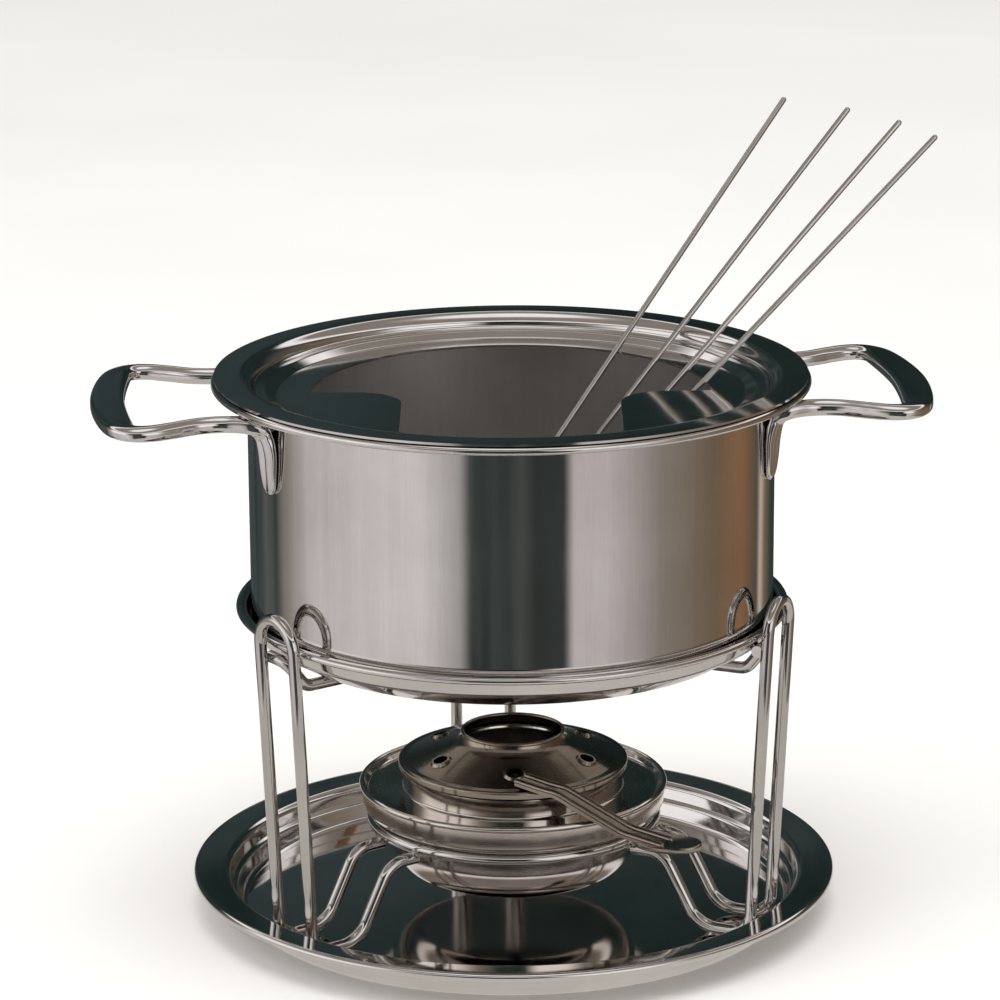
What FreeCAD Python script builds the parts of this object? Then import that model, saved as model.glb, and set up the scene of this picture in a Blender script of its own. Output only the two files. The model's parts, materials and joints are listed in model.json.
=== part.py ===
"""Steel fondue set on its drip tray: wire stand, spirit burner, pot, fork ring and four forks.

Millimetres, +Z up. The origin is the middle of the tray's underside, on the table.
Sheet-metal rounds are revolved from a profile in (radius, height); wires are swept circles.
"""
import FreeCAD, Part
import math
import os

V = FreeCAD.Vector
Z_AXIS = V(0, 0, 1)
ORIGIN = V(0, 0, 0)

# ---- driving dimensions ------------------------------------------------------------------
POT_R = 90.0              # outside of the pot's wall
POT_RIM_R = 102.2         # outside of the pot's rolled rim
POT_T = 1.0               # pot sheet
POT_CORNER_R = 3.5        # outside, between floor and wall
RIM_Z = 189.0             # top of the pot's rim
POT_FLOOR_Z = 103.0       # underside of the pot's sheet floor

TRAY_R = 112.0            # outside of the tray's rolled rim
TRAY_T = 0.8
TRAY_RIM_Z = 14.0
TRAY_FLOOR_R = 95.8

WIRE_D = 4.2              # legs and struts
LEG_ANGLES = {"front_left": 216.6, "front_right": 336.6, "back": 96.6}
HAIRPIN_W = 20.0          # between the two wires of one leg
LEG_FOOT_R = 92.0         # wire centre where the leg bends in over the tray
LEG_TOP_R = 98.0          # wire centre at the top of the hairpin
LEG_TOP_Z = 119.2
FLOOR_GAP = 0.3           # between pieces that only rest on each other

DISH_R = 95.2             # support dish, outside of its rolled rim
DISH_T = 0.8
DISH_RIM_Z = 110.0
DISH_FLOOR_Z = 96.0       # underside of its floor
DISH_HOLE_R = 45.0

BURNER_RING_R = 49.5      # wire centre
BURNER_RING_D = 4.0
BURNER_RING_Z = 31.2
BOWL_LOW_Z = 11.6         # underside of the bowl
DRUM_R = 53.7             # outside of the drum's upper roll
CAP_R = 40.0
CAP_Z = 52.0              # top of the cap's flange
COLLAR_R = 17.9           # outside of the cap's open neck
COLLAR_Z = 61.4           # middle of the rolled edge at the neck's mouth
CONE_FOOT_R = 37.0        # where the cap's cone starts, at the flange
CONE_TOP_Z = 58.6         # where the cone turns up into the neck
VENT_COUNT = 6
VENT_R = 29.0             # circle that the air holes stand on
VENT_START = 271.0        # angle of the first air hole
REGULATOR_START = (3.0, -33.0)   # plan position where the regulator handle is welded to the cap
SPOON_REACH = 55.6        # middle of the handle's spoon-shaped end, from its start
REGULATOR_ANGLE = -28.8   # direction that the handle runs in from there

RING_T = 0.8              # fork ring sheet
RING_OPENING_R = 68.0
RING_PLATE_Z = 183.2      # top of the level plate

HANDLE_ANGLE = 5.5        # the handles' axis, from +X
HANDLE_ROD = 5.6
HANDLE_REACH = 138.0      # middle of the cross grip
HANDLE_Z = 182.7
ROOT_ANGLE = 22.0         # each root, either side of the handle's axis

FORK_D = 2.0
FORK_LENGTH = 229.0
FORK_TIP_GAP = 3.4        # middle of a prong's tip above the pot's floor
FORK_SLOPE = 43.0
FORK_RESTS = (8.0, 24.0, 40.0, 56.0)   # where each fork crosses the ring's opening edge
FORK_HEADINGS = (19.0, 27.0, 35.0, 43.0)


# ---- helpers -----------------------------------------------------------------------------
def export(name, shape):
    """Write one sub-part, as a single clean solid wherever it is one."""
    solid = shape.Solids[0] if len(shape.Solids) == 1 else shape
    solid.exportStep("parts/%s.step" % name)
    print("%-20s solids %d  volume %9.1f  valid %s"
          % (name, len(shape.Solids), shape.Volume, shape.isValid()))


def polar(radius, degrees, z=0.0):
    """Point at a radius and an angle about the vertical axis."""
    angle = math.radians(degrees)
    return V(radius * math.cos(angle), radius * math.sin(angle), z)


def rounded_edges(points, radii):
    """Straight runs through the points, with a tangent arc of the given radius at each inner one."""
    edges = []
    start = points[0]
    for before, corner, after, radius in zip(points, points[1:], points[2:], radii):
        back = (before - corner).normalize()
        ahead = (after - corner).normalize()
        turn = math.pi - back.getAngle(ahead)
        if radius <= 0 or turn < 1e-4:
            edges.append(Part.LineSegment(start, corner).toShape())
            start = corner
            continue
        reach = radius * math.tan(turn / 2)
        first = corner + back * reach
        last = corner + ahead * reach
        bisector = (back + ahead).normalize()
        middle = corner + bisector * (radius / math.cos(turn / 2) - radius)
        if (first - start).Length > 1e-6:
            edges.append(Part.LineSegment(start, first).toShape())
        edges.append(Part.Arc(first, middle, last).toShape())
        start = last
    edges.append(Part.LineSegment(start, points[-1]).toShape())
    return edges


def offset_points(points, distance):
    """Mitred copy of a (radius, height) polyline, shifted to the left of its direction."""
    shifted = []
    count = len(points)
    for i, point in enumerate(points):
        normals = []
        for j in (i - 1, i):
            if 0 <= j and j + 1 < count:
                run = (points[j + 1] - points[j]).normalize()
                normals.append(V(-run.z, 0, run.x))
        mitre = normals[0] + normals[-1]
        shifted.append(point + mitre * (2 * distance / mitre.dot(mitre)))
    return shifted


def revolve(face):
    """Full turn about the set's axis."""
    return face.revolve(ORIGIN, Z_AXIS, 360)


def sheet(profile, radii, thickness):
    """Revolved sheet metal. The profile is one face; the metal lies to the left of its direction."""
    outer = [V(r, 0, z) for r, z in profile]
    inner = offset_points(outer, thickness)
    inner_radii = []
    for a, b, c, radius in zip(outer, outer[1:], outer[2:], radii):
        turn = (b.x - a.x) * (c.z - b.z) - (b.z - a.z) * (c.x - b.x)
        inner_radii.append(radius - thickness if turn > 0 else radius + thickness)
    edges = rounded_edges(outer, radii)
    edges.append(Part.LineSegment(outer[-1], inner[-1]).toShape())
    edges += rounded_edges(inner[::-1], inner_radii[::-1])
    edges.append(Part.LineSegment(inner[0], outer[0]).toShape())
    return revolve(Part.Face(Part.Wire(Part.__sortEdges__(edges))))


def bead(radius, z, bead_radius):
    """Rolled edge: a ring of round section."""
    return Part.makeTorus(radius, bead_radius, V(0, 0, z), Z_AXIS)


def wire_along(points, radii, diameter):
    """Round wire swept along straight runs and tangent bends."""
    edges = rounded_edges(points, radii)
    path = Part.Wire(edges)
    direction = (points[1] - points[0]).normalize()
    circle = Part.Wire(Part.makeCircle(diameter / 2, points[0], direction))
    return path.makePipe(Part.Face(circle))


def disc(radius, z_low, z_high):
    return Part.makeCylinder(radius, z_high - z_low, V(0, 0, z_low))


def tube(inner_radius, outer_radius, z_low, z_high):
    return disc(outer_radius, z_low, z_high).cut(disc(inner_radius, z_low - 1, z_high + 1))


# ---- tray --------------------------------------------------------------------------------
def drip_tray():
    """Wide flat rim, a wall with one ledge, level floor that lies on the table."""
    profile = [(0, 0), (TRAY_FLOOR_R, 0), (TRAY_FLOOR_R + 1.6, 6.6), (TRAY_FLOOR_R + 3.2, 7.2),
               (TRAY_FLOOR_R + 4.4, 12.4), (TRAY_R - 1.6, TRAY_RIM_Z - TRAY_T)]
    pan = sheet(profile, [3.0, 1.2, 1.0, 2.0], TRAY_T)
    return pan.fuse(bead(TRAY_R - 1.3, TRAY_RIM_Z - 1.3, 1.3))


# ---- stand -------------------------------------------------------------------------------
def in_leg_frame(angle, radius, sideways, z):
    """Point given by its distance out along a leg's angle, its sideways shift and its height."""
    along = polar(1, angle)
    across = V(-along.y, along.x, 0)
    return along * radius + across * sideways + V(0, 0, z)


def stand_leg(angle, burner_ring):
    """One wire: burner ring, S-bend to the tray, up, round the hairpin, down and back again."""
    half = HAIRPIN_W / 2
    foot_z = TRAY_T + FLOOR_GAP + WIRE_D / 2
    side = [(BURNER_RING_R - 0.6, 28.0), (60.0, 28.0), (73.3, foot_z), (LEG_FOOT_R, foot_z),
            (LEG_TOP_R, LEG_TOP_Z)]
    one = [in_leg_frame(angle, r, half, z) for r, z in side]
    other = [in_leg_frame(angle, r, -half, z) for r, z in reversed(side)]
    bends = [9.0, 12.0, 7.0, half - 0.15]
    leg = wire_along(one + other, bends + bends[::-1], WIRE_D)
    return leg.cut(burner_ring)


def strut(angle, leg, dish):
    """Short wire from the hairpin down and in under the support dish, welded at both ends."""
    half = HAIRPIN_W / 2
    out_r = 93.7
    high_z = 103.6
    low_z = DISH_FLOOR_Z - WIRE_D / 2 + 0.3
    path = [in_leg_frame(angle, out_r, -half, high_z), in_leg_frame(angle, out_r, 0, high_z),
            in_leg_frame(angle, 86.5, 0, low_z), in_leg_frame(angle, 63.0, 0, low_z)]
    return wire_along(path, [4.5, 5.0], WIRE_D).cut(leg).cut(dish)


def burner_ring_wire():
    return bead(BURNER_RING_R, BURNER_RING_Z, BURNER_RING_D / 2)


def support_dish():
    """Rolled rim, short wall, sloping side and a floor with a wide hole for the flame."""
    z = DISH_FLOOR_Z
    profile = [(DISH_HOLE_R, z), (79.0, z), (90.7, z + 6.8), (92.2, DISH_RIM_Z - DISH_T),
               (DISH_R - 1.2, DISH_RIM_Z - DISH_T)]
    pan = sheet(profile, [3.0, 3.0, 1.0], DISH_T)
    return pan.fuse(bead(DISH_R - 1.2, DISH_RIM_Z - 1.2, 1.2))


# ---- pot ---------------------------------------------------------------------------------
def pot_body():
    """Flat floor, straight wall and a wide turned-out rim that ends in a roll."""
    z = POT_FLOOR_Z
    under_rim = RIM_Z - POT_T
    bead_r = 1.3
    profile = [(0, z), (POT_R, z), (POT_R, under_rim), (POT_RIM_R - bead_r, under_rim)]
    pan = sheet(profile, [POT_CORNER_R, 3.0], POT_T)
    return pan.fuse(bead(POT_RIM_R - bead_r, RIM_Z - bead_r, bead_r))


def pot_base_disc():
    """Heat-spreading disc brazed under the pot's floor, with a chamfered lower edge."""
    low = DISH_FLOOR_Z + DISH_T + FLOOR_GAP
    edge = 1.0
    profile = [V(0, 0, low), V(73.5 - edge, 0, low), V(73.5, 0, low + edge),
               V(73.5, 0, POT_FLOOR_Z), V(0, 0, POT_FLOOR_Z)]
    return revolve(Part.Face(Part.makePolygon(profile + profile[:1])))


def root_point(stand_off, z):
    """Point off the pot's wall at the root of a handle that points along +X."""
    return polar(POT_R + stand_off, ROOT_ANGLE, z)


def mirrored(points):
    """The points, then their mirror images in reverse: a loop's two halves."""
    return points + [V(point.x, -point.y, point.z) for point in reversed(points)]


def handle_rod():
    """Rod from one root out, round the loop and back to the other root."""
    z = HANDLE_Z
    half = [root_point(1.7, 170.0), root_point(3.4, z), V(100.0, 33.4, z), V(129.6, 48.0, z),
            V(HANDLE_REACH, 4.0, z)]
    bends = [5.0, 20.0, 9.0, 24.0]
    return wire_along(mirrored(half), bends + bends[::-1], HANDLE_ROD)


def handle_grip():
    """Flattened outer bar of the loop: wider than the rod and a little thinner."""
    width = HANDLE_ROD + 5.4
    thick = HANDLE_ROD - 1.4
    half = [V(130.8, 41.0, HANDLE_Z), V(HANDLE_REACH, 4.0, HANDLE_Z)]
    path = Part.Wire(rounded_edges(mirrored(half), [24.0, 24.0]))
    along = (half[1] - half[0]).normalize()
    across = V(-along.y, along.x, 0)
    corners = [half[0] + across * (a * width / 2) + V(0, 0, b * thick / 2)
               for a, b in ((-1, -1), (1, -1), (1, 1), (-1, 1), (-1, -1))]
    bar = path.makePipe(Part.Face(Part.makePolygon(corners)))
    return bar.makeFillet(1.9, bar.Edges)


def handle_root():
    """Flat tapering foot of one root, against the pot's wall."""
    low = 158.4
    outline = [V(0, -4.2, low), V(0, -6.0, 171.0), V(0, -5.2, 180.0), V(0, 5.2, 180.0),
               V(0, 6.0, 171.0), V(0, 4.2, low), V(0, -4.2, low)]
    plate = Part.Face(Part.makePolygon(outline)).extrude(V(5.4, 0, 0))
    plate.translate(V(POT_R - 1.6, 0, 0))
    upright = [edge for edge in plate.Edges if edge.BoundBox.XLength > 5]
    plate = plate.makeFillet(1.6, upright)
    front = [edge for edge in plate.Edges if edge.BoundBox.XMin > POT_R + 3.7]
    return plate.makeFillet(1.4, front)


def root_flutes():
    """Two grooves down the face of a root, closer together at the foot."""
    grooves = []
    for spread in (-1, 1):
        low = polar(POT_R + 4.0, spread * 0.9, 161.5)
        high = polar(POT_R + 4.2, spread * 1.8, 177.0)
        run = high - low
        groove = Part.makeCylinder(0.95, run.Length, low, run)
        grooves.append(groove.fuse(Part.makeSphere(0.95, low)).fuse(Part.makeSphere(0.95, high)))
    return grooves


def pot_handle(turn, pot):
    """Loop of rod with a flattened grip and two fluted roots that are welded to the wall."""
    loop = handle_rod().fuse(handle_grip())
    for side in (-1, 1):
        root = handle_root()
        for groove in root_flutes():
            root = root.cut(groove)
        root.rotate(ORIGIN, Z_AXIS, side * ROOT_ANGLE)
        loop = loop.fuse(root)
    loop = loop.cut(disc(POT_R, POT_FLOOR_Z, RIM_Z))
    loop.rotate(ORIGIN, Z_AXIS, turn)
    return loop.cut(pot)


# ---- fork ring ---------------------------------------------------------------------------
def ring_tab(side):
    """Plan of the rounded tab that reaches into the opening at the front, on one side."""
    outer = RING_OPENING_R + 4
    edge = 37.0
    points = [V(side * outer, -2.0, 0), V(side * edge, -2.0, 0), V(side * edge, -57.5, 0),
              V(side * (edge + 3), -63.0, 0)]
    edges = rounded_edges(points, [16.0, 3.0])
    edges.append(Part.LineSegment(points[-1], V(side * outer, -63.0, 0)).toShape())
    edges.append(Part.LineSegment(V(side * outer, -63.0, 0), points[0]).toShape())
    return Part.Face(Part.Wire(Part.__sortEdges__(edges)))


def fork_ring():
    """Flange on the pot's rim, a stepped wall inside it and a level plate with the opening."""
    top = RIM_Z + 0.35 + RING_T
    plate = RING_PLATE_Z
    edge_r = POT_RIM_R - 1.0
    profile = [(edge_r, top), (87.9, top), (87.9, 185.1), (83.6, 184.8), (80.0, plate), (20.0, plate)]
    ring = sheet(profile, [5.0, 1.2, 1.6, 2.0], RING_T)
    ring = ring.fuse(bead(edge_r, top - RING_T / 2, RING_T / 2))
    opening = disc(RING_OPENING_R, plate - 3, plate + 3)
    for side in (-1, 1):
        tab = ring_tab(side).extrude(V(0, 0, 8))
        tab.translate(V(0, 0, plate - 4))
        opening = opening.cut(tab)
    return ring.cut(opening)


# ---- forks -------------------------------------------------------------------------------
def fork_along_x():
    """Fork that lies along +X with its prong tips at the origin: round shaft, flat two-prong head."""
    thick = 1.4
    half = 3.0
    prong = 1.5
    length = 30.0
    throat = [V(9.0, -half + prong, 0), V(length - 2, -half + prong, 0), V(length, 0, 0),
              V(length - 2, half - prong, 0), V(9.0, half - prong, 0)]
    right = [V(0, half - 0.5, 0), V(0, half - 0.1, 0), V(6.0, half, 0), V(length, half, 0),
             V(length + 9, FORK_D / 2, 0)]
    left = [V(point.x, -point.y, 0) for point in right]
    barb_in = [V(5.2, half - prong - 0.9, 0), V(6.6, half - prong - 0.9, 0)]
    barb_out = [V(point.x, -point.y, 0) for point in reversed(barb_in)]
    outline = right + left[::-1] + barb_out[::-1] + throat + barb_in[::-1]
    head = Part.Face(Part.makePolygon(outline + outline[:1])).extrude(V(0, 0, thick))
    head.translate(V(0, 0, -thick / 2))
    shaft_start = length + 4
    shaft = Part.makeCylinder(FORK_D / 2, FORK_LENGTH - shaft_start - 1, V(shaft_start, 0, 0), V(1, 0, 0))
    end = Part.makeSphere(FORK_D / 2, V(FORK_LENGTH - 1, 0, 0))
    return head.fuse(shaft).fuse(end)


def resting_fork(rest_angle, heading):
    """Fork with its tips near the pot's floor, leaning on the edge of the ring's opening."""
    slope = math.radians(FORK_SLOPE)
    over_edge = (FORK_D / 2 + FLOOR_GAP) / math.cos(slope)
    crossing = polar(RING_OPENING_R, rest_angle, RING_PLATE_Z + over_edge)
    level = polar(1, heading)
    axis = level * math.cos(slope) + V(0, 0, math.sin(slope))
    tip_z = POT_FLOOR_Z + POT_T + FORK_TIP_GAP
    tip = crossing - axis * ((crossing.z - tip_z) / axis.z)
    across = V(-level.y, level.x, 0)
    normal = axis.cross(across)
    fork = fork_along_x()
    fork.Placement = FreeCAD.Placement(FreeCAD.Matrix(
        axis.x, across.x, normal.x, tip.x,
        axis.y, across.y, normal.y, tip.y,
        axis.z, across.z, normal.z, tip.z,
        0, 0, 0, 1))
    return fork


# ---- burner ------------------------------------------------------------------------------
def burner_drum():
    """Upper shell: neck, sunk annular top, upright side and a lower lip that carries the bowl."""
    neck_r = CAP_R - 2.4
    low = BURNER_RING_Z + BURNER_RING_D / 2 + 0.4
    top = sheet([(neck_r, 48.2), (neck_r, 41.0), (50.6, 41.0), (DRUM_R - 1.1, 43.0)], [1.6, 2.0], 0.7)
    side = sheet([(43.2, low), (52.4, low), (DRUM_R - 0.6, 43.2)], [4.2], 0.7)
    drum = top.fuse(side)
    return drum.fuse(bead(DRUM_R - 1.1, 43.0, 1.1))


def burner_bowl():
    """Round-bottomed bowl that hangs in the drum's lower opening by its turned-out lip."""
    profile = [(0, BOWL_LOW_Z), (40.0, BOWL_LOW_Z), (42.4, 22.0), (42.4, 34.5), (45.4, 34.5)]
    return sheet(profile, [11.0, 8.0, 1.2], 0.7)


def fuel_cup():
    low = BOWL_LOW_Z + 1.1
    profile = [(0, low), (34.0, low), (34.0, 38.4), (35.6, 38.4)]
    return sheet(profile, [4.0, 1.0], 0.6)


def absorbent_wadding():
    low = BOWL_LOW_Z + 2.0
    puck = disc(33.0, low, 34.0)
    low_edges = [edge for edge in puck.Edges if abs(edge.BoundBox.ZMax - low) < 1e-6]
    return puck.makeFillet(4.0, low_edges)


def wick_gauze():
    """Round of woven wire that keeps the wadding down, slightly domed."""
    dome = Part.makeSphere(520.0, V(0, 0, 35.6 - 520.0))
    hollow = Part.makeSphere(519.5, V(0, 0, 35.6 - 520.0))
    return dome.cut(hollow).common(disc(33.0, 34.0, 37.0))


def gauze_ring():
    """Sprung hoop that clamps the gauze into the fuel cup's mouth."""
    return tube(30.6, 33.2, 35.75, 37.4)


def cone_line(drop):
    """Two points of the regulator's cone, lowered by a drop."""
    return [(CONE_FOOT_R, CAP_Z + 0.2 - drop), (COLLAR_R, CONE_TOP_Z - drop)]


def vent_places():
    """Middle and outward direction of each air hole on the cap's cone."""
    (r0, z0), (r1, z1) = cone_line(0)
    run = V(r1 - r0, 0, z1 - z0).normalize()
    z = z0 + (z1 - z0) * (r0 - VENT_R) / (r0 - r1)
    for i in range(VENT_COUNT):
        angle = VENT_START + i * 360.0 / VENT_COUNT
        level = polar(1, angle)
        yield polar(VENT_R, angle, z), level * run.z + V(0, 0, -run.x)


def vent_cutters(radius):
    return [Part.makeCylinder(radius, 8, middle - out * 4, out) for middle, out in vent_places()]


def shutter_cone():
    """Fixed cone under the cap. Its air holes meet the cap's when the regulator is open."""
    thick = 0.6
    (foot_r, foot_z), (top_r, top_z) = cone_line(1.5)
    profile = [(foot_r - 0.2, 44.0), (foot_r, foot_z), (top_r + 0.6, top_z - 0.2)]
    cone = sheet(profile, [1.2], thick)
    for cutter in vent_cutters(2.8):
        cone = cone.cut(cutter)
    return cone


def regulator_cap():
    """Turning cap: lipped flange, cone with six drawn-out air holes, open neck with a rolled edge."""
    thick = 0.8
    profile = [(CAP_R, CAP_Z - 2.4), (CAP_R, CAP_Z)] + cone_line(0) + [(COLLAR_R, COLLAR_Z)]
    cap = sheet(profile, [1.0, 1.6, 4.5], thick)
    cap = cap.fuse(bead(COLLAR_R - thick / 2, COLLAR_Z, 0.7))
    for middle, out in vent_places():
        cap = cap.fuse(Part.makeCone(4.4, 3.2, 1.5, middle - out * 0.7, out))
    for cutter in vent_cutters(2.5):
        cap = cap.cut(cutter)
    return cap


def regulator_path(sideways, lift):
    """Centre line of the regulator handle, shifted sideways and up."""
    side_view = [(0, 54.3), (9.0, 52.9), (15.0, 52.4), (40.0, 42.4), (55.0, 40.4)]
    start = V(*REGULATOR_START, 0)
    points = [start + in_leg_frame(REGULATOR_ANGLE, along, sideways, z + lift)
              for along, z in side_view]
    return points, [20.0, 10.0, 16.0]


def regulator_handle(cap):
    """Pressed strip with two ribs, spot-welded to the cap, that widens to a spoon-shaped end."""
    width = 10.6
    thick = 1.1
    points, bends = regulator_path(0, 0)
    path = Part.Wire(rounded_edges(points, bends))
    across = in_leg_frame(REGULATOR_ANGLE, 0, 1, 0)
    along = (points[1] - points[0]).normalize()
    up = along.cross(across)
    corners = [points[0] + across * (a * width / 2) + up * (b * thick / 2)
               for a, b in ((-1, -1), (1, -1), (1, 1), (-1, 1))]
    handle = path.makePipe(Part.Face(Part.makePolygon(corners + corners[:1])))
    for sideways in (-3.4, 3.4):
        rib, rib_bends = regulator_path(sideways, 0.3)
        handle = handle.fuse(wire_along(rib, rib_bends, 2.5))
        handle = handle.fuse(Part.makeSphere(1.25, rib[0])).fuse(Part.makeSphere(1.25, rib[-1]))
    pieces = handle.fuse(spoon_end()).cut(cap).Solids
    return max(pieces, key=lambda piece: piece.Volume)


def spoon_end():
    """Oval end of the regulator handle, hollow on top."""
    tilt = -2.0
    oval = Part.Ellipse(V(12.5, 0, 0), V(0, 8.0, 0), ORIGIN).toShape()
    plate = Part.Face(Part.Wire(oval)).extrude(V(0, 0, 2.6))
    rim = [edge for edge in plate.Edges if edge.Length > 30]
    plate = plate.makeFillet(1.0, rim)
    hollow = Part.makeSphere(60.0, V(0, 0, 60.0 + 1.3))
    plate = plate.cut(hollow)
    plate.translate(V(SPOON_REACH, 0, 39.5))
    plate.rotate(V(SPOON_REACH, 0, 40.8), V(0, 1, 0), tilt)
    plate.rotate(ORIGIN, Z_AXIS, REGULATOR_ANGLE)
    plate.translate(V(*REGULATOR_START, 0))
    return plate


# ---- whole set ---------------------------------------------------------------------------
def main():
    os.makedirs("parts", exist_ok=True)
    export("drip_tray", drip_tray())

    ring = burner_ring_wire()
    dish = support_dish()
    export("burner_ring", ring)
    export("support_dish", dish)
    for name, angle in LEG_ANGLES.items():
        leg = stand_leg(angle, ring)
        export("leg_" + name, leg)
        export("strut_" + name, strut(angle, leg, dish))

    pot = pot_body()
    export("pot_body", pot)
    export("pot_base_disc", pot_base_disc())
    export("handle_right", pot_handle(HANDLE_ANGLE, pot))
    export("handle_left", pot_handle(HANDLE_ANGLE + 180, pot))
    export("fork_ring", fork_ring())
    for i, (rest, heading) in enumerate(zip(FORK_RESTS, FORK_HEADINGS)):
        export("fork_%d" % (i + 1), resting_fork(rest, heading))

    export("burner_drum", burner_drum())
    export("burner_bowl", burner_bowl())
    export("fuel_cup", fuel_cup())
    export("absorbent_wadding", absorbent_wadding())
    export("wick_gauze", wick_gauze())
    export("gauze_ring", gauze_ring())
    export("shutter_cone", shutter_cone())
    cap = regulator_cap()
    export("regulator_cap", cap)
    export("regulator_handle", regulator_handle(cap))


main()
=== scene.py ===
"""Looks of the fondue set: polished steel, formed handles, welds, woven gauze and fibre wadding.

Metres, in the CAD model's own frame: the origin is under the middle of the tray, +Z is up.
"""
import json
import math

import bmesh
import bpy
import numpy as np
from mathutils import Matrix, Vector, noise


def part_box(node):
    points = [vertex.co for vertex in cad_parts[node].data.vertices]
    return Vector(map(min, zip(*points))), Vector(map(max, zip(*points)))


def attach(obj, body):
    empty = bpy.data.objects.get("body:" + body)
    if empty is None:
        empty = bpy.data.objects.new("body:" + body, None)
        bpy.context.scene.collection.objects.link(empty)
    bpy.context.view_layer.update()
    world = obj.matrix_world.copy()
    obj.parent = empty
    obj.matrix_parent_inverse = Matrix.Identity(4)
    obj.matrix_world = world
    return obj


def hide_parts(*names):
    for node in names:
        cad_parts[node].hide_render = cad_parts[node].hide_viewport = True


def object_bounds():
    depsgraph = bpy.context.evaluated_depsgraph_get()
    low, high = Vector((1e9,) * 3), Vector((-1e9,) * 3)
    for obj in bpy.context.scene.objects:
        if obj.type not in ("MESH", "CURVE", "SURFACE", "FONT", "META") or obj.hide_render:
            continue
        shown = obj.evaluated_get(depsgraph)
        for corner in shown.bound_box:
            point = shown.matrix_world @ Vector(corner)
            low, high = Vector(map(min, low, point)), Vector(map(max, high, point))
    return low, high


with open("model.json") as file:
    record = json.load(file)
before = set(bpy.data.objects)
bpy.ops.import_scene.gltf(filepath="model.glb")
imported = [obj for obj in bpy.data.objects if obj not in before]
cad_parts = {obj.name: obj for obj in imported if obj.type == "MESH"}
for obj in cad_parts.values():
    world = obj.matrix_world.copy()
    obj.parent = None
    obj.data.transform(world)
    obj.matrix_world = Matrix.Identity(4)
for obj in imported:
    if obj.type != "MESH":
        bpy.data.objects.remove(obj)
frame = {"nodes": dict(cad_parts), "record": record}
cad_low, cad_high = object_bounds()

MM = 0.001
NODES = frame["nodes"]

# ---- sizes that several pieces share, as in the CAD model ----------------------------------
POT_WALL_R = 90.0 * MM                      # outside of the pot's straight wall
POT_INSIDE_R = POT_WALL_R - 0.5 * MM        # half way through that wall
RIM_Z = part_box("pot_body")[1].z
HANDLE_ANGLE = 5.5                          # degrees from +X
HANDLE_Z = RIM_Z - 6.3 * MM                 # middle of the handle's level rod
ROOT_ANGLE = 22.0                           # each root, either side of the handle's axis
LEG_ANGLES = {"front_left": 216.6, "front_right": 336.6, "back": 96.6}
HAIRPIN_W = 20.0 * MM                       # between the two wires of a leg

# ---- camera --------------------------------------------------------------------------------
CAMERA_PLACE = Vector((-0.001, -1.42528, 0.53229))
CAMERA_YAW = -0.12                          # degrees
CAMERA_PITCH = 15.225                       # degrees below the horizon
CAMERA_ROLL = -0.347                        # degrees
CAMERA_LENS = 154.88                        # mm, on a 36 mm sensor


def aim_camera():
    """Level camera axes from yaw and pitch, then the small roll about the view line."""
    yaw, pitch, roll = (math.radians(a) for a in (CAMERA_YAW, CAMERA_PITCH, CAMERA_ROLL))
    ahead = Vector((math.sin(yaw) * math.cos(pitch), math.cos(yaw) * math.cos(pitch),
                    -math.sin(pitch)))
    level_right = Vector((math.cos(yaw), -math.sin(yaw), 0))
    level_up = level_right.cross(ahead)
    right = level_right * math.cos(roll) + level_up * math.sin(roll)
    up = level_up * math.cos(roll) - level_right * math.sin(roll)
    data = bpy.data.cameras.new("camera")
    data.lens = CAMERA_LENS
    data.sensor_width = 36.0
    data.clip_start = 0.05
    data.clip_end = 60.0
    camera = bpy.data.objects.new("camera", data)
    camera.matrix_world = Matrix((
        (right.x, up.x, -ahead.x, CAMERA_PLACE.x),
        (right.y, up.y, -ahead.y, CAMERA_PLACE.y),
        (right.z, up.z, -ahead.z, CAMERA_PLACE.z),
        (0, 0, 0, 1)))
    bpy.context.scene.collection.objects.link(camera)
    bpy.context.scene.camera = camera


# ---- node helpers --------------------------------------------------------------------------
def feed(tree, socket, value):
    """Link a socket to another one, or set its value."""
    if isinstance(value, bpy.types.NodeSocket):
        tree.links.new(value, socket)
    else:
        socket.default_value = value


def colour_input(value):
    """A socket as it is, or a plain colour with its alpha added."""
    return value if isinstance(value, bpy.types.NodeSocket) else (*value, 1)


def arithmetic(tree, operation, first, second=0.0):
    node = tree.nodes.new("ShaderNodeMath")
    node.operation = operation
    feed(tree, node.inputs[0], first)
    feed(tree, node.inputs[1], second)
    return node.outputs[0]


def combine(tree, x, y, z):
    node = tree.nodes.new("ShaderNodeCombineXYZ")
    for socket, value in zip(node.inputs, (x, y, z)):
        feed(tree, socket, value)
    return node.outputs[0]


def cloud(tree, vector, scale, detail=2.0, roughness=0.5):
    """Noise texture, from 0 to 1."""
    node = tree.nodes.new("ShaderNodeTexNoise")
    feed(tree, node.inputs["Vector"], vector)
    node.inputs["Scale"].default_value = scale
    node.inputs["Detail"].default_value = detail
    node.inputs["Roughness"].default_value = roughness
    return node.outputs["Fac"]


def remap(tree, value, low, high, to_low, to_high):
    node = tree.nodes.new("ShaderNodeMapRange")
    node.inputs["From Min"].default_value = low
    node.inputs["From Max"].default_value = high
    node.inputs["To Min"].default_value = to_low
    node.inputs["To Max"].default_value = to_high
    feed(tree, node.inputs["Value"], value)
    return node.outputs["Result"]


def ramp(tree, value, stops):
    """Colour ramp through (place, colour) stops."""
    node = tree.nodes.new("ShaderNodeValToRGB")
    elements = node.color_ramp.elements
    while len(elements) < len(stops):
        elements.new(0.5)
    for element, (place, colour) in zip(elements, stops):
        element.position = place
        element.color = (*colour, 1.0)
    feed(tree, node.inputs["Fac"], value)
    return node.outputs["Color"]


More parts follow.
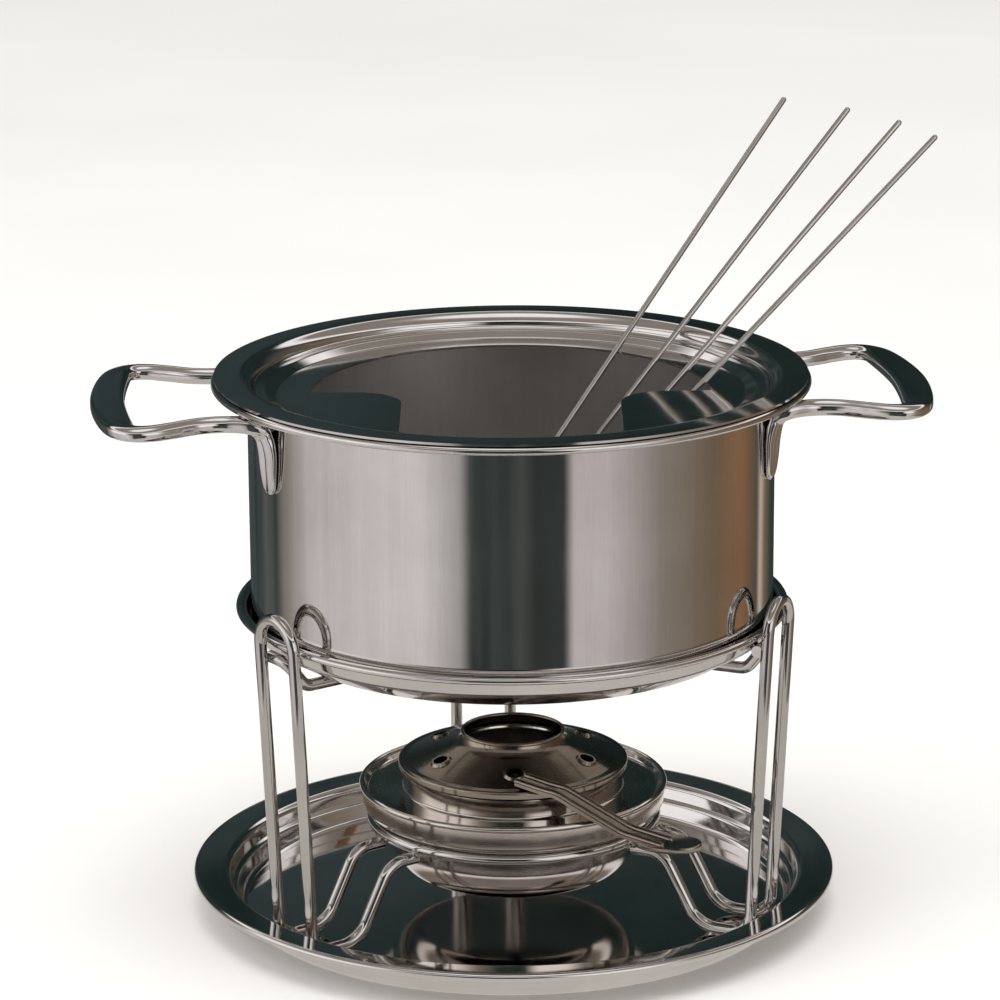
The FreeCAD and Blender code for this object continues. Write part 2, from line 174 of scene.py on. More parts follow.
def mix_colours(tree, factor, first, second):
    node = tree.nodes.new("ShaderNodeMix")
    node.data_type = "RGBA"
    feed(tree, node.inputs["Factor"], factor)
    feed(tree, node.inputs[6], colour_input(first))
    feed(tree, node.inputs[7], colour_input(second))
    return node.outputs[2]


def bump(tree, height, distance, normal=None):
    node = tree.nodes.new("ShaderNodeBump")
    node.inputs["Strength"].default_value = 1.0
    node.inputs["Distance"].default_value = distance
    feed(tree, node.inputs["Height"], height)
    if normal is not None:
        tree.links.new(normal, node.inputs["Normal"])
    return node.outputs["Normal"]


def place_parts(tree):
    """The point itself, its radius and angle about the set's axis, and its height."""
    point = tree.nodes.new("ShaderNodeTexCoord").outputs["Object"]
    split = tree.nodes.new("ShaderNodeSeparateXYZ")
    tree.links.new(point, split.inputs[0])
    x, y, z = split.outputs
    squares = arithmetic(tree, "ADD", arithmetic(tree, "MULTIPLY", x, x),
                         arithmetic(tree, "MULTIPLY", y, y))
    return point, arithmetic(tree, "SQRT", squares), arithmetic(tree, "ARCTAN2", y, x), z


# ---- materials -----------------------------------------------------------------------------
def new_material(name):
    material = bpy.data.materials.new(name)
    material.use_nodes = True
    tree = material.node_tree
    return material, tree, tree.nodes["Principled BSDF"]


def grain_marks(tree, grain, radius, angle, height):
    """Stretched coordinates for fine marks: "turned" ones run round the set's axis, "upright"
    ones up the wall, and "drawn" ones are short and lie anyhow."""
    if grain == "turned":
        return combine(tree, radius, arithmetic(tree, "MULTIPLY", angle, 0.004), height)
    if grain == "upright":
        return combine(tree, arithmetic(tree, "MULTIPLY", angle, POT_WALL_R),
                       arithmetic(tree, "MULTIPLY", height, 0.03), 0.0)
    return combine(tree, arithmetic(tree, "MULTIPLY", radius, 0.4), angle,
                   arithmetic(tree, "MULTIPLY", height, 0.25))


def steel(name, light, dark, gloss, grain, grain_depth, wave_depth=0.00012, satin_inside=0.0):
    """Polished stainless steel: two close tones, smudged gloss, fine marks and a slow sheet wave.

    light, dark: the two tones. gloss: (lowest, highest) roughness. grain: see grain_marks.
    satin_inside: radius inside which the metal is brushed and duller, as in the pot.
    """
    material, tree, shader = new_material(name)
    point, radius, angle, height = place_parts(tree)
    marks = grain_marks(tree, grain, radius, angle, height)
    fine = cloud(tree, marks, 1500.0, 3.0, 0.6)
    broad = cloud(tree, marks, 420.0, 2.0)
    smudge = cloud(tree, point, 28.0, 4.0, 0.6)
    wear = cloud(tree, point, 95.0, 3.0, 0.65)
    streaks = arithmetic(tree, "MULTIPLY", fine, broad)
    tone = arithmetic(tree, "ADD", arithmetic(tree, "MULTIPLY", smudge, 0.75),
                      arithmetic(tree, "MULTIPLY", streaks, 0.5))
    haze = arithmetic(tree, "ADD", remap(tree, smudge, 0.35, 0.75, 0.0, 0.6),
                      remap(tree, wear, 0.5, 0.8, 0.0, 0.4))
    rough = remap(tree, arithmetic(tree, "ADD", haze, remap(tree, fine, 0.3, 0.7, 0.0, 0.25)),
                  0.0, 1.2, gloss[0], gloss[1])
    if satin_inside:
        inside = remap(tree, radius, satin_inside + 0.2 * MM, satin_inside - 0.2 * MM, 0.0, 1.0)
        streaks = arithmetic(tree, "MULTIPLY", streaks, inside)
        rough = arithmetic(tree, "ADD", rough, arithmetic(tree, "MULTIPLY", inside, 0.3))
    shade = ramp(tree, tone, [(0.3, dark), (0.7, light)])
    tree.links.new(shade, shader.inputs["Base Color"])
    tree.links.new(rough, shader.inputs["Roughness"])
    normal = bump(tree, streaks, grain_depth)
    if wave_depth:
        normal = bump(tree, cloud(tree, point, 16.0, 1.0), wave_depth, normal)
    tree.links.new(normal, shader.inputs["Normal"])
    shader.inputs["Metallic"].default_value = 1.0
    return material


def fibre():
    """Off-white absorbent wadding: matted short fibres with scorched patches."""
    material, tree, shader = new_material("wadding_fibre")
    point = tree.nodes.new("ShaderNodeTexCoord").outputs["Object"]
    mat = cloud(tree, point, 900.0, 5.0, 0.7)
    patches = cloud(tree, point, 60.0, 3.0)
    pale = ramp(tree, mat, [(0.3, (0.42, 0.37, 0.30)), (0.7, (0.78, 0.74, 0.66))])
    shade = mix_colours(tree, remap(tree, patches, 0.52, 0.72, 0.0, 0.7), pale, (0.16, 0.12, 0.09))
    tree.links.new(shade, shader.inputs["Base Color"])
    tree.links.new(bump(tree, mat, 0.0006), shader.inputs["Normal"])
    shader.inputs["Roughness"].default_value = 0.95
    shader.inputs["Sheen Weight"].default_value = 0.3
    return material


def weld_metal():
    """Weld bead: duller than the wire, rippled, with straw and blue heat tints."""
    material, tree, shader = new_material("weld_metal")
    point = tree.nodes.new("ShaderNodeTexCoord").outputs["Object"]
    tint = cloud(tree, point, 420.0, 3.0)
    shade = ramp(tree, tint, [(0.3, (0.30, 0.27, 0.26)), (0.5, (0.50, 0.47, 0.43)),
                              (0.7, (0.44, 0.36, 0.27))])
    tree.links.new(shade, shader.inputs["Base Color"])
    ripple = cloud(tree, point, 1400.0, 3.0)
    tree.links.new(remap(tree, ripple, 0.3, 0.7, 0.2, 0.42), shader.inputs["Roughness"])
    tree.links.new(bump(tree, ripple, 0.0002), shader.inputs["Normal"])
    shader.inputs["Metallic"].default_value = 1.0
    return material


CLEAN = (0.74, 0.715, 0.70)
WORN = (0.62, 0.595, 0.58)
SATIN = (0.66, 0.64, 0.62)
SATIN_WORN = (0.52, 0.50, 0.48)
HEAT_TONED = (0.76, 0.72, 0.68)
HEAT_TONED_WORN = (0.60, 0.55, 0.50)
SCORCHED = (0.40, 0.35, 0.30)
SCORCHED_WORN = (0.25, 0.21, 0.17)
GAUZE_WIRE = (0.50, 0.46, 0.42)
GAUZE_WIRE_WORN = (0.32, 0.28, 0.24)
MATERIALS = {
    "tray_steel": steel("tray_polish", CLEAN, WORN, (0.04, 0.11), "turned", 2e-6),
    "wire_steel": steel("wire_polish", SATIN, SATIN_WORN, (0.05, 0.12), "drawn", 2e-6,
                        wave_depth=0.0),
    "dish_steel": steel("dish_polish", CLEAN, WORN, (0.05, 0.12), "turned", 2e-6),
    "pot_steel": steel("pot_polish", CLEAN, WORN, (0.05, 0.11), "upright", 8e-6,
                       satin_inside=POT_INSIDE_R),
    "base_steel": steel("base_satin", SATIN, SATIN_WORN, (0.16, 0.3), "turned", 6e-6),
    "handle_steel": steel("handle_polish", CLEAN, WORN, (0.05, 0.11), "drawn", 2e-6,
                          wave_depth=0.0),
    "ring_steel": steel("ring_polish", CLEAN, WORN, (0.05, 0.12), "turned", 2e-6),
    "fork_steel": steel("fork_polish", SATIN, SATIN_WORN, (0.1, 0.2), "drawn", 3e-6,
                        wave_depth=0.0),
    "burner_steel": steel("burner_heat_toned", HEAT_TONED, HEAT_TONED_WORN, (0.08, 0.17),
                          "turned", 6e-7),
    "cap_steel": steel("cap_heat_toned", SCORCHED, SCORCHED_WORN, (0.1, 0.2), "turned", 5e-7),
    "wadding": fibre(),
    "gauze": steel("gauze_wire", GAUZE_WIRE, GAUZE_WIRE_WORN, (0.2, 0.4), "drawn", 6e-6,
                   wave_depth=0.0),
}
WELD = weld_metal()


def dress_cad_nodes():
    """Give each CAD node the finish of its record slot."""
    for part in frame["record"]["subparts"]:
        mesh = NODES[part["node"]].data
        mesh.materials.clear()
        mesh.materials.append(MATERIALS[part["material_slot"]])


# ---- mesh helpers --------------------------------------------------------------------------
def mesh_piece(name, points, faces, body, slot):
    """Smooth mesh object that rides on a body and takes its finish from a record slot."""
    mesh = bpy.data.meshes.new(name)
    mesh.from_pydata([tuple(point) for point in points], [], faces)
    mesh.validate()
    mesh.update()
    for polygon in mesh.polygons:
        polygon.use_smooth = True
    mesh.materials.append(MATERIALS[slot])
    obj = bpy.data.objects.new(name, mesh)
    bpy.context.scene.collection.objects.link(obj)
    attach(obj, body)
    return obj


def points_and_faces(build):
    """Points and faces of a bmesh, which is freed."""
    mesh = bpy.data.meshes.new("scratch")
    build.to_mesh(mesh)
    build.free()
    points = [vertex.co.copy() for vertex in mesh.vertices]
    faces = [tuple(polygon.vertices) for polygon in mesh.polygons]
    bpy.data.meshes.remove(mesh)
    return points, faces


def smooth_through(stations, steps):
    """Catmull-Rom curve through rows of numbers, with the given steps per interval."""
    rows = np.array(stations, float)
    padded = np.vstack([2 * rows[0] - rows[1], rows, 2 * rows[-1] - rows[-2]])
    curve = []
    for before, start, end, after in zip(padded, padded[1:], padded[2:], padded[3:]):
        for t in np.arange(steps) / steps:
            curve.append(0.5 * (2 * start + (end - before) * t
                                + (2 * before - 5 * start + 4 * end - after) * t ** 2
                                + (3 * start - before - 3 * end + after) * t ** 3))
    return np.array(curve + [rows[-1]])


def tube_faces(rings, around):
    """Quads of a tube of rings, closed by one face at each end."""
    faces = []
    for i in range(rings - 1):
        for j in range(around):
            k = (j + 1) % around
            here, there = i * around, (i + 1) * around
            faces.append((here + j, here + k, there + k, there + j))
    faces.append(tuple(range(around))[::-1])
    faces.append(tuple(range((rings - 1) * around, rings * around)))
    return faces


# ---- turned sheet metal --------------------------------------------------------------------
TRAY_SHEET = DISH_SHEET = RING_SHEET = 0.8  # mm
POT_SHEET = 1.0
BURNER_SHEET = 0.7
BEAD_POINTS = 28
TURNED_STEPS = 288


def rounded(points, radii):
    """Outline in (radius, height) with an arc at each inner corner, in steps of about 6 degrees."""
    line = [points[0]]
    for before, corner, after, radius in zip(points, points[1:], points[2:], radii):
        back = (before - corner).normalized()
        ahead = (after - corner).normalized()
        turn = math.pi - back.angle(ahead)
        if radius <= 0 or turn < 1e-4:
            line.append(corner)
            continue
        centre = corner + (back + ahead).normalized() * (radius / math.cos(turn / 2))
        first = corner + back * radius * math.tan(turn / 2) - centre
        steps = max(2, int(math.degrees(turn) / 6))
        way = 1 if back.cross(first) > 0 else -1
        for k in range(steps + 1):
            line.append(centre + Matrix.Rotation(way * turn * k / steps, 2) @ first)
    line.append(points[-1])
    return line


def sheet_outline(profile, radii, thickness):
    """Closed outline of sheet metal; the metal lies to the left of the profile's direction."""
    outer = [Vector(point) for point in profile]
    inner = []
    for i, point in enumerate(outer):
        runs = [outer[j + 1] - outer[j] for j in (i - 1, i) if 0 <= j and j + 1 < len(outer)]
        normals = [Vector((-run.y, run.x)).normalized() for run in runs]
        mitre = normals[0] + normals[-1]
        inner.append(point + mitre * (2 * thickness / mitre.dot(mitre)))
    inner_radii = []
    for a, b, c, radius in zip(outer, outer[1:], outer[2:], radii):
        left_turn = (b - a).cross(c - b) > 0
        inner_radii.append(radius - thickness if left_turn else radius + thickness)
    return rounded(outer, radii) + rounded(inner[::-1], inner_radii[::-1])


def bead_outline(radius, height, size):
    """Round outline of a rolled edge."""
    turns = [2 * math.pi * k / BEAD_POINTS for k in range(BEAD_POINTS)]
    return [Vector((radius + size * math.cos(t), height + size * math.sin(t))) for t in turns]


def revolve(outline, angles, reach=None):
    """Points and faces of a closed outline turned about the axis; reach gives the inner edge."""
    points = []
    for angle in angles:
        level = Vector((math.cos(angle), math.sin(angle)))
        for r, z in outline:
            if reach is not None and r < reach["inside"]:
                r = reach["radius"](angle)
            points.append((level.x * r * MM, level.y * r * MM, z * MM))
    count = len(outline)
    faces = []
    for i in range(len(angles)):
        after = (i + 1) % len(angles)
        for j in range(count):
            k = (j + 1) % count
            faces.append((i * count + j, after * count + j, after * count + k, i * count + k))
    return points, faces


def turned_piece(name, node, body, slot, outlines, angles, reach=None):
    """Smooth lathe-turned sheet metal in place of the CAD node of the same shape."""
    points = []
    faces = []
    for outline in outlines:
        more_points, more_faces = revolve(outline, angles, reach)
        start = len(points)
        points += more_points
        faces += [tuple(corner + start for corner in face) for face in more_faces]
    piece = mesh_piece(name, points, faces, body, slot)
    clean = bmesh.new()
    clean.from_mesh(piece.data)
    bmesh.ops.remove_doubles(clean, verts=clean.verts[:], dist=1e-7)
    bmesh.ops.recalc_face_normals(clean, faces=clean.faces[:])
    clean.to_mesh(piece.data)
    clean.free()
    piece.data.set_sharp_from_angle(angle=math.radians(30))
    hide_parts(node)


def opening_radius(angle):
    """Distance from the axis to the ring's opening, a circle with a rounded tab at each side."""
    circle, tab_x, tab_top, tab_front, corner = 68.0, 37.0, 2.0, 57.5, 16.0
    down = -math.sin(angle)
    out = abs(math.cos(angle))
    if down <= 0 or out < 1e-6 or tab_x * down / out > tab_front:
        return circle
    middle = (tab_x + corner, tab_top + corner)
    along = middle[0] * out + middle[1] * down
    gap = along ** 2 - middle[0] ** 2 - middle[1] ** 2 + corner ** 2
    if gap > 0:
        hit = along - math.sqrt(gap)
        if hit * out < middle[0] and hit * down < middle[1]:
            return min(circle, hit)
    return min(circle, max(tab_x / out, tab_top / down))


def ring_angles():
    """A degree apart, and closer where the tabs' upper edges run almost along the radius."""
    degrees = list(range(360))
    fine_step = 0.11
    for k in range(1, 40):
        degrees += [-k * fine_step % 360, 180 + k * fine_step]
    return [math.radians(d) for d in sorted(degrees)]


def turn_sheet_metal():
    """Profiles in mm, (radius, height), as in the CAD model."""
    even = [2 * math.pi * k / TURNED_STEPS for k in range(TURNED_STEPS)]
    floor_r = 95.8
    tray = sheet_outline([(0, 0), (floor_r, 0), (floor_r + 1.6, 6.6), (floor_r + 3.2, 7.2),
                          (floor_r + 4.4, 12.4), (110.4, 13.2)], [3.0, 1.2, 1.0, 2.0],
                         TRAY_SHEET)
    turned_piece("tray_pressed", "drip_tray", "tray", "tray_steel",
                 [tray, bead_outline(110.7, 12.7, 1.3)], even)
    dish = sheet_outline([(45.0, 96.0), (79.0, 96.0), (90.7, 102.8), (92.2, 109.2), (94.0, 109.2)],
                         [3.0, 3.0, 1.0], DISH_SHEET)
    turned_piece("dish_pressed", "support_dish", "stand", "dish_steel",
                 [dish, bead_outline(94.0, 108.8, 1.2)], even)
    wall_r = POT_WALL_R / MM
    rim_z = RIM_Z / MM
    pot = sheet_outline([(0, 103.0), (wall_r, 103.0), (wall_r, rim_z - 1.0), (100.9, rim_z - 1.0)],
                        [3.5, 3.0], POT_SHEET)
    turned_piece("pot_drawn", "pot_body", "pot", "pot_steel",
                 [pot, bead_outline(100.9, rim_z - 1.3, 1.3)], even)
    drum_top = sheet_outline([(37.6, 48.2), (37.6, 41.0), (50.6, 41.0), (52.6, 43.0)],
                             [1.6, 2.0], BURNER_SHEET)
    drum_side = sheet_outline([(43.2, 33.6), (52.4, 33.6), (53.1, 43.2)], [4.2], BURNER_SHEET)
    turned_piece("drum_pressed", "burner_drum", "burner", "burner_steel",
                 [drum_top, drum_side, bead_outline(52.6, 43.0, 1.1)], even)
    bowl = sheet_outline([(0, 11.6), (40.0, 11.6), (42.4, 22.0), (42.4, 34.5), (45.4, 34.5)],
                         [11.0, 8.0, 1.2], BURNER_SHEET)
    turned_piece("bowl_pressed", "burner_bowl", "burner", "burner_steel", [bowl], even)
    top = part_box("fork_ring")[1].z / MM
    ring = sheet_outline([(101.2, top), (87.9, top), (87.9, 185.1), (83.6, 184.8), (80.0, 183.2),
                          (72.0, 183.2), (60.0, 183.2)], [5.0, 1.2, 1.6, 2.0, 0.0], RING_SHEET)
    turned_piece("ring_pressed", "fork_ring", "ring", "ring_steel", [ring], ring_angles(),
                 {"inside": 61.0, "radius": opening_radius})


# ---- handles -------------------------------------------------------------------------------
ROOT_SQUARENESS = 2.6
HANDLE_AROUND = 64
HANDLE_STEPS = 9                            # between two stations


def handle_half():
    """Stations of half a handle that points along +X, from the foot of its root to mid-grip.

    Each row: out, sideways, rise above the rod (mm), width, thickness, squareness, flute.
    """
    roots = ((0.7, -24.1, 4.0, 1.6, 0.0), (1.1, -22.0, 8.2, 2.8, 0.5), (1.4, -16.0, 10.6, 3.8, 1.0),
             (1.7, -9.5, 11.6, 4.4, 1.0), (3.0, -3.8, 9.8, 5.2, 0.8), (7.2, -0.3, 6.9, 5.6, 0.2))
    turn = math.radians(ROOT_ANGLE)
    rows = []
    for stand_off, rise, width, thick, flute in roots:
        radius = POT_WALL_R / MM + stand_off
        rows.append((radius * math.cos(turn), radius * math.sin(turn), rise, width, thick,
                     ROOT_SQUARENESS, flute))
    rows += [(99.0, 34.4, 0, 5.8, 5.6, 2.0, 0), (107.5, 35.8, 0, 5.6, 5.6, 2.0, 0),
             (115.5, 40.2, 0, 5.7, 5.6, 2.0, 0), (122.5, 43.6, 0, 6.4, 5.4, 2.1, 0),
             (128.6, 43.6, 0, 7.8, 5.1, 2.4, 0), (132.6, 39.2, 0, 9.2, 4.8, 3.0, 0),
             (134.6, 31.0, 0, 10.6, 4.5, 3.8, 0), (136.4, 16.0, 0, 11.4, 4.3, 4.4, 0),
             (137.2, 0.0, 0, 11.6, 4.2, 4.6, 0)]
    return rows


def handle_section(width, thick, power, flute, around):
    """Squared oval; where the flute is not 0, a deep groove down the middle of its outer face."""
    groove_w, edge_at, edge_w, edge_share, depth = 0.24, 0.85, 0.16, 0.4, 0.85
    section = []
    for i in range(around):
        angle = 2 * math.pi * i / around
        u = math.copysign(abs(math.cos(angle)) ** (2 / power), math.cos(angle))
        v = math.copysign(abs(math.sin(angle)) ** (2 / power), math.sin(angle))
        groove = math.exp(-(u / groove_w) ** 2)
        groove += edge_share * math.exp(-((abs(u) - edge_at) / edge_w) ** 2)
        section.append((u * width / 2, (v + depth * flute * groove * max(0.0, -v)) * thick / 2))
    return section


def build_handle(side_name, turn):
    """Formed rod loop with a flat-topped grip and two fluted roots, in place of the CAD one."""
    half = handle_half()
    mirror = [(out, -sideways, *rest) for out, sideways, *rest in half[-2::-1]]
    rows = smooth_through(half + mirror, HANDLE_STEPS)
    centres = rows[:, :3]
    tangents = np.gradient(centres, axis=0)
    spin = Matrix.Rotation(math.radians(turn), 4, "Z")
    root = math.radians(ROOT_ANGLE)
    points = []
    for i, (centre, tangent, row) in enumerate(zip(centres, tangents, rows)):
        along = Vector(tangent).normalized()
        leaving = 1 if i <= len(rows) // 2 else -1
        level = Vector((along.x, along.y, 0))
        root_way = Vector((leaving * math.cos(root), math.sin(root), 0))
        heading = level + root_way * 0.4 * max(0.0, 1.0 - level.length)
        across = Vector((-heading.y, heading.x, 0))
        across = (across - along * across.dot(along)).normalized()
        normal = along.cross(across)
        width, thick, squareness, flute = row[3:]
        for u, v in handle_section(width, thick, squareness, max(0.0, flute), HANDLE_AROUND):
            place = (Vector(centre) + across * u + normal * v) * MM
            place.z += HANDLE_Z
            points.append(spin @ place)
    faces = tube_faces(len(rows), HANDLE_AROUND)
    handle = mesh_piece("handle_formed_" + side_name, points, faces, "pot", "handle_steel")
    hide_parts("handle_" + side_name)


# ---- wick ----------------------------------------------------------------------------------
def woven_gauze():
    """Plain-weave wire cloth over the wadding, slightly domed, cut to the gauze ring."""
    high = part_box("wick_gauze")[1]
    reach = high.x - 0.6 * MM
    crown = high.z - 0.25 * MM
    pitch = 1.9 * MM
    wire = 0.24 * MM
    dome_r = 520.0 * MM
    count = int(reach / pitch)
    points = []
    faces = []
    for lengthwise in (0, 1):
        for i in range(-count, count + 1):
            offset = i * pitch
            span = math.sqrt(max(reach ** 2 - offset ** 2, 0))
            steps = max(4, int(span * 2 / (pitch / 3)))
            first = len(points)
            for k in range(steps + 1):
                along = -span + 2 * span * k / steps
                weave = math.cos(math.pi * along / pitch) * (-1) ** (i + lengthwise)
                drop = (offset ** 2 + along ** 2) / (2 * dome_r)
                level = crown - drop + weave * wire * 0.55
                place = (along, offset) if lengthwise == 0 else (offset, along)
                for a, b in ((-1, 0), (0, 1), (1, 0), (0, -1)):
                    shift = (0, a) if lengthwise == 0 else (a, 0)
                    points.append((place[0] + shift[0] * wire / 2, place[1] + shift[1] * wire / 2,
                                   level + b * wire / 2))
            for k in range(steps):
                for j in range(4):
                    m = (j + 1) % 4
                    corner = first + k * 4
                    faces.append((corner + j, corner + m, corner + 4 + m, corner + 4 + j))
    gauze = mesh_piece("woven_gauze", points, faces, "burner", "gauze")
    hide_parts("wick_gauze")


def matted_wadding():
    """Puck of absorbent fibre: rounded, lumpy on top, a little smaller than its CAD solid."""
    low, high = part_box("absorbent_wadding")
    build = bmesh.new()
    bmesh.ops.create_cube(build, size=1.0)
    bmesh.ops.subdivide_edges(build, edges=build.edges[:], cuts=23, use_grid_fill=True)
    radius = high.x - 0.8 * MM
    middle = (low + high) / 2
    half_height = (high.z - low.z) / 2 - 0.5 * MM
    lump_height = 0.8 * MM
    for vertex in build.verts:
        x, y, z = vertex.co * 2
        square = max(abs(x), abs(y))
        flat = math.hypot(x, y) or 1.0
        share = square / flat
        top = 1.0 - 0.08 * (square ** 6)
        place = Vector((x, y, z))
        lump = noise.noise(place * 3.5) * 0.5 + noise.noise(place * 9.0) * 0.3
        spread = radius * (1.0 - 0.07 * z ** 6) * (1.0 + 0.012 * lump)
        raised = lump * lump_height * (1 if z > 0 else 0)
        vertex.co = Vector((x * share * spread, y * share * spread,
                            middle.z + z * half_height * top + raised))
    points, faces = points_and_faces(build)
    wadding = mesh_piece("matted_wadding", points, faces, "burner", "wadding")
    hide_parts("absorbent_wadding")


# ---- welds ---------------------------------------------------------------------------------
def leg_point(angle, radius, sideways, z):
    """Point given by its distance out along a leg's angle, its sideways shift and its height."""
    turn = math.radians(angle)
    along = Vector((math.cos(turn), math.sin(turn), 0))
    across = Vector((-along.y, along.x, 0))
    return along * radius + across * sideways + Vector((0, 0, z))


def weld_bead(name, place, size, stretch, seed):
    """Small lump of weld metal, uneven, longer along one direction."""
    build = bmesh.new()
    bmesh.ops.create_icosphere(build, subdivisions=4, radius=1.0)
    along = stretch.normalized()
    for vertex in build.verts:
        direction = vertex.co.copy()
        lump = noise.noise(direction * 1.6 + Vector((seed, 0, 0))) * 0.25
        ripple = noise.noise(direction * 5.0 + Vector((0, seed, 0))) * 0.06
        grown = direction * (1.0 + lump + ripple)
        grown += along * grown.dot(along) * 0.55
        vertex.co = place + grown * size
    points, faces = points_and_faces(build)
    bead = mesh_piece(name, points, faces, "stand", "wire_steel")
    bead.data.materials[0] = WELD


def add_welds():
    """Beads where the legs' ends meet the burner ring and where the struts meet the dish."""
    ring_low, ring_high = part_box("burner_ring")
    ring_r = ring_high.x - 2.0 * MM
    ring_z = (ring_low.z + ring_high.z) / 2
    dish_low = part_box("support_dish")[0].z
    for i, (name, angle) in enumerate(LEG_ANGLES.items()):
        outward = leg_point(angle, 1, 0, 0)
        for j, side in enumerate((-1, 1)):
            place = leg_point(angle, ring_r - 1.2 * MM, side * HAIRPIN_W / 2, ring_z - 2.2 * MM)
            weld_bead("weld_ring_%s_%d" % (name, j + 1), place, 1.9 * MM, outward, 3 * i + j)
        place = leg_point(angle, 64.0 * MM, 0, dish_low - 0.6 * MM)
        weld_bead("weld_dish_" + name, place, 1.8 * MM, outward, 20 + i)


# ---- stage ---------------------------------------------------------------------------------
def pale_floor():
    """Plain pale floor. Mirror surfaces see only its near part, and the studio beyond it."""
    material, tree, shader = new_material("floor_pale")
    point = tree.nodes.new("ShaderNodeTexCoord").outputs["Object"]
    grain = cloud(tree, point, 3.0, 3.0)
    shade = ramp(tree, grain, [(0.3, (0.80, 0.785, 0.76)), (0.7, (0.84, 0.825, 0.80))])
    tree.links.new(shade, shader.inputs["Base Color"])
    shader.inputs["Roughness"].default_value = 0.8
    below = 0.1 * MM                        # keeps the floor clear of the tray's underside
    for name, radius, mirrored in (("floor", 9.0, False), ("floor_near", 0.3, True)):
        build = bmesh.new()
        bmesh.ops.create_circle(build, cap_ends=True, segments=96, radius=radius)
        mesh = bpy.data.meshes.new(name)
        build.to_mesh(mesh)
        build.free()
        mesh.materials.append(material)
        floor = bpy.data.objects.new(name, mesh)
        floor.visible_glossy = mirrored
        floor.visible_camera = not mirrored
        floor.visible_diffuse = not mirrored
        floor.visible_shadow = not mirrored
        floor.location.z = cad_low.z - below
        bpy.context.scene.collection.objects.link(floor)


def add_lights():
    """Large overhead softbox and a smaller one from the left. Mirrors see the world instead."""
    for name, place, size, power in (("softbox_top", (0.2, -0.3, 2.2), 1.8, 26.0),
                                     ("softbox_left", (-1.7, -0.8, 1.4), 1.2, 12.0)):
        data = bpy.data.lights.new(name, "AREA")
        data.size = size
        data.energy = power
        light = bpy.data.objects.new(name, data)
        light.location = place
        light.rotation_mode = "QUATERNION"
        light.rotation_quaternion = (-Vector(place)).to_track_quat("-Z", "Y")
        light.visible_glossy = False
        bpy.context.scene.collection.objects.link(light)


def compass(degrees):
    """Place on a ramp for a direction's angle from +X, anticlockwise, from -180 to 180."""
    return ((degrees + 180.0) % 360.0) / 360.0


# Studio colours, as linear light.
SHADOW = (0.02, 0.02, 0.02)
CHARCOAL = (0.026, 0.022, 0.021)
SEAM = (0.065, 0.06, 0.058)
DIM = (0.07, 0.055, 0.045)
BROWN = (0.18, 0.12, 0.075)
AMBER = (0.27, 0.13, 0.055)
TAUPE = (0.28, 0.235, 0.205)
CREAM = (0.62, 0.50, 0.40)
GREY = (0.44, 0.41, 0.40)
MAUVE = (0.64, 0.58, 0.58)
PALE = (0.77, 0.71, 0.72)
BRIGHT = (1.15, 1.12, 1.12)
NIGHT = (0.0, 0.0, 0.0)
DEEP_GREEN = (0.011, 0.022, 0.020)
GREY_GREEN = (0.055, 0.075, 0.078)

# Cards that stand round the set at table height: (direction, colour), 90 is behind the set.
LOW_CARDS = ((-180, MAUVE), (-131, PALE), (-113, GREY), (-108, CHARCOAL), (-92, CHARCOAL),
             (-86, SEAM), (-80, CHARCOAL), (-67, CHARCOAL), (-63, MAUVE), (-49, MAUVE),
             (-22, TAUPE), (8, BROWN), (30, AMBER), (46, DIM), (50, CREAM), (56, BROWN),
             (68, SHADOW), (126, SHADOW), (134, DIM), (144, SHADOW), (154, TAUPE), (172, MAUVE))
# What stands above table height, in the same form.
HIGH_CARDS = ((-180, BRIGHT), (-145, BRIGHT), (-125, TAUPE), (-105, NIGHT), (-80, NIGHT),
              (-68, BRIGHT), (-42, BRIGHT), (-25, TAUPE), (0, BROWN), (40, DIM), (58, NIGHT),
              (136, NIGHT), (156, TAUPE), (170, BRIGHT))
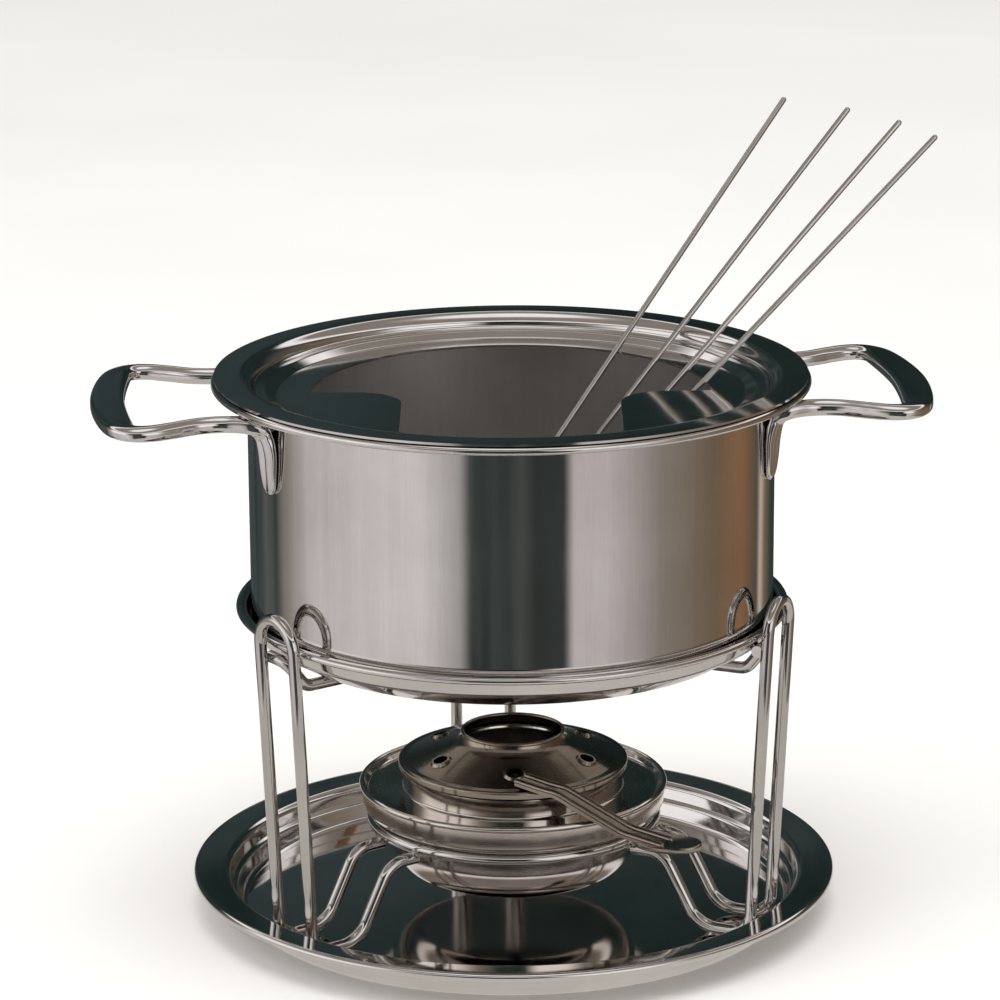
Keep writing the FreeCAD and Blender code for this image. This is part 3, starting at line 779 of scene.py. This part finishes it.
# What hangs overhead, by the sine of its elevation.
OVERHEAD = ((0.50, NIGHT), (0.54, BRIGHT), (0.60, BRIGHT), (0.66, TAUPE), (0.88, TAUPE),
            (0.93, GREY), (0.97, BRIGHT))
PALE_BACKDROP = (0.93, 0.925, 0.915)


def studio_world():
    """Pale to the camera. Mirrors see cards round the set, a dark green room and a soft top."""
    world = bpy.data.worlds.new("studio")
    bpy.context.scene.world = world
    world.use_nodes = True
    tree = world.node_tree
    background = tree.nodes["Background"]
    direction = tree.nodes.new("ShaderNodeTexCoord").outputs["Generated"]
    split = tree.nodes.new("ShaderNodeSeparateXYZ")
    tree.links.new(direction, split.inputs[0])
    x, y, z = split.outputs
    turn = remap(tree, arithmetic(tree, "ARCTAN2", y, x), -math.pi, math.pi, 0.0, 1.0)
    low = ramp(tree, turn, [(compass(angle), colour) for angle, colour in LOW_CARDS])
    high = ramp(tree, turn, [(compass(angle), colour) for angle, colour in HIGH_CARDS])
    level = mix_colours(tree, remap(tree, z, -0.06, 0.05, 0.0, 1.0), low, high)
    room = mix_colours(tree, remap(tree, z, 0.42, 0.50, 0.0, 1.0), level, ramp(tree, z, OVERHEAD))
    blotches = remap(tree, cloud(tree, direction, 7.0, 3.0), 0.35, 0.65, 0.0, 1.0)
    patches = arithmetic(tree, "MULTIPLY", blotches, remap(tree, x, -0.16, 0.14, 1.0, 0.15))
    green = mix_colours(tree, patches, DEEP_GREEN, GREY_GREEN)
    lit = tree.nodes.new("ShaderNodeVectorMath")        # adds the two
    tree.links.new(room, lit.inputs[0])
    tree.links.new(green, lit.inputs[1])
    mirrored = tree.nodes.new("ShaderNodeLightPath").outputs["Is Glossy Ray"]
    tree.links.new(mix_colours(tree, mirrored, PALE_BACKDROP, lit.outputs[0]),
                   background.inputs["Color"])


dress_cad_nodes()
turn_sheet_metal()
build_handle("right", HANDLE_ANGLE)
build_handle("left", HANDLE_ANGLE + 180)
woven_gauze()
matted_wadding()
add_welds()

aim_camera()
pale_floor()
add_lights()
studio_world()
bpy.context.scene.view_settings.view_transform = "Standard"
